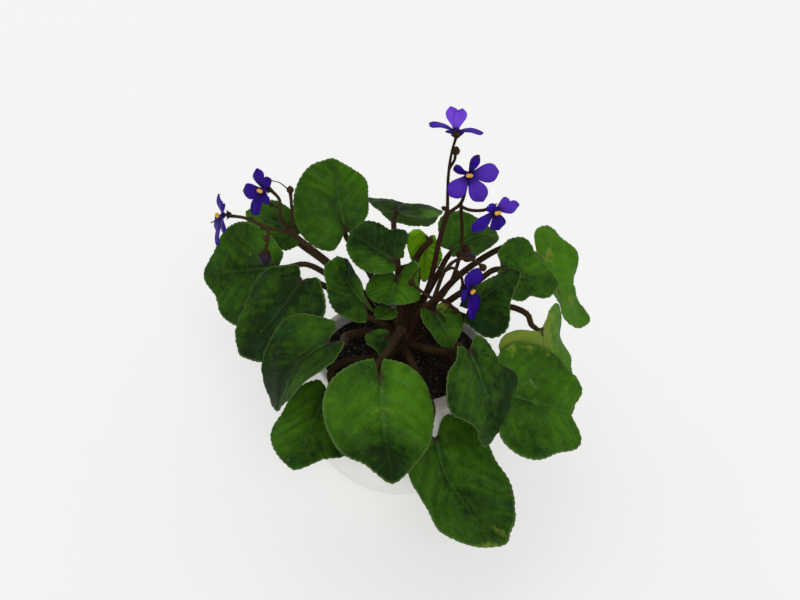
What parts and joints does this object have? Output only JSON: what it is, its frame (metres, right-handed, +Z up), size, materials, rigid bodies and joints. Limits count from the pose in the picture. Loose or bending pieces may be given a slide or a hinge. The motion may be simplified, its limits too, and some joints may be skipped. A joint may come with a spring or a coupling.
{
  "type": "potted african violet",
  "caption": "African violet with violet flowers on branching stalks above scalloped hairy leaves, growing in a small round-bellied pot filled with soil.",
  "frame": {"origin": "centre of the pot's flat base, on the surface it stands on", "axes": "+Z up along the pot's axis, -Y towards the camera, +X to the right as pictured"},
  "size_m": [0.2417, 0.2229, 0.2231],
  "materials": {
    "pot": "satin off-white",
    "soil": "crumbly dark potting soil",
    "stem": "hairy brown-green stem",
    "leaf": "satin hairy green leaf",
    "petal": "velvety violet petal",
    "anther": "matte yellow anther",
    "bud": "hairy violet bud"
  },
  "bodies": {
    "root": {"pot": "pot", "soil": "soil", "crown_and_stems": "stem", "leaf_front": "leaf", "leaf_front_left": "leaf", "leaf_front_right": "leaf", "leaf_left_lower": "leaf", "leaf_left_middle": "leaf", "leaf_left_far": "leaf", "leaf_left_back": "leaf", "leaf_back_left": "leaf", "leaf_centre_cupped": "leaf", "leaf_centre_left": "leaf", "leaf_centre": "leaf", "leaf_centre_lower": "leaf", "leaf_centre_young": "leaf", "leaf_right_small": "leaf", "leaf_right_folded": "leaf", "leaf_right_large": "leaf", "leaf_right_behind": "leaf", "leaf_right_centre": "leaf", "leaf_right_upper": "leaf", "leaf_right_far": "leaf", "leaf_back_folded": "leaf", "leaf_back_hanging": "leaf", "leaf_back_right": "leaf", "flower_top_petals": "petal", "flower_top_anthers": "anther", "flower_upper_petals": "petal", "flower_upper_anthers": "anther", "flower_middle_petals": "petal", "flower_middle_anthers": "anther", "flower_left_petals": "petal", "flower_left_anthers": "anther", "flower_far_left_petals": "petal", "flower_far_left_anthers": "anther", "flower_right_petals": "petal", "flower_right_anthers": "anther", "bud_left": "bud", "bud_right": "bud"}
  },
  "joints": []
}
